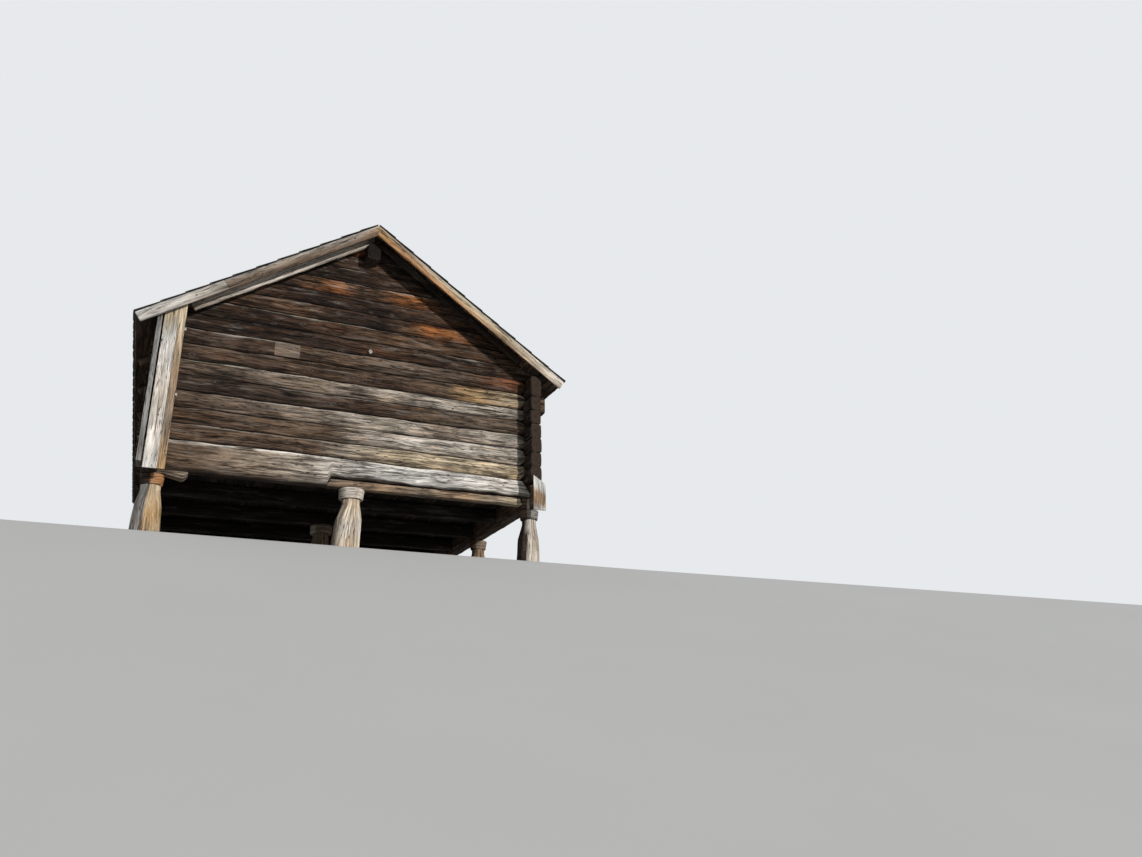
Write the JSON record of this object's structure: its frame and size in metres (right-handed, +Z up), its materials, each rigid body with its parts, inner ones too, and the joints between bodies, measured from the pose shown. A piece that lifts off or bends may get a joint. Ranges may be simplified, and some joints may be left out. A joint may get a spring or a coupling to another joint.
{
  "type": "raised log granary",
  "caption": "Notched log granary raised on hewn posts with round caps, with a floor on joists, corner casings and a slate gable roof.",
  "frame": {"origin": "on the ground, under the middle of the roof's outline", "axes": "+X along the front gable to the right, +Y from the front gable to the back one along the ridge, +Z up"},
  "size_m": [5.9436, 9.854, 4.7126],
  "materials": {
    "posts": "hewn pine posts, weathered grey to orange, with long drying cracks",
    "caps": "round wooden caps, weathered pale grey",
    "sills": "hewn sill logs weathered silver grey, with long cracks",
    "bearing": "newer reddish brown timber, lightly weathered",
    "floor_timber": "shaded brown joists and floor boards",
    "log_walls": "hewn pine logs, dark tarred brown above and paler honey grey below, with cracks and knots",
    "roof_timber": "shaded brown rafters, boards and ridge log",
    "slates": "matt grey slates in lapped courses",
    "barge_boards": "weathered boards, silver grey at the eaves and browner towards the ridge",
    "casing_boards": "weathered pale grey boards with a yellower strip"
  },
  "bodies": {
    "root": {"posts_row_1": "posts", "posts_row_2": "posts", "posts_row_3": "posts", "posts_row_4": "posts", "posts_row_5": "posts", "caps_row_1": "caps", "caps_row_2": "caps", "caps_row_3": "caps", "caps_row_4": "caps", "caps_row_5": "caps", "front_sill": "sills", "back_sill": "sills", "left_sill": "sills", "right_sill": "sills", "bearing_timber": "bearing", "bearing_stub": "bearing", "corner_prop": "bearing", "floor_joists": "floor_timber", "floor": "floor_timber", "front_wall_logs": "log_walls", "back_wall_logs": "log_walls", "front_gable_logs": "log_walls", "back_gable_logs": "log_walls", "left_wall_logs": "log_walls", "right_wall_logs": "log_walls", "ridge_log": "roof_timber", "left_rafters": "roof_timber", "right_rafters": "roof_timber", "left_roof_deck": "roof_timber", "right_roof_deck": "roof_timber", "left_roof_covering": "slates", "right_roof_covering": "slates", "front_left_barge_upper": "barge_boards", "front_left_barge_lower": "barge_boards", "front_right_barge": "barge_boards", "back_left_barge": "barge_boards", "back_right_barge": "barge_boards", "front_left_casing": "casing_boards", "front_left_casing_flanks": "casing_boards", "back_left_casing": "casing_boards", "back_left_casing_flanks": "casing_boards", "back_right_casing": "casing_boards", "back_right_casing_flanks": "casing_boards", "front_right_casing_remnant": "casing_boards"}
  },
  "joints": []
}
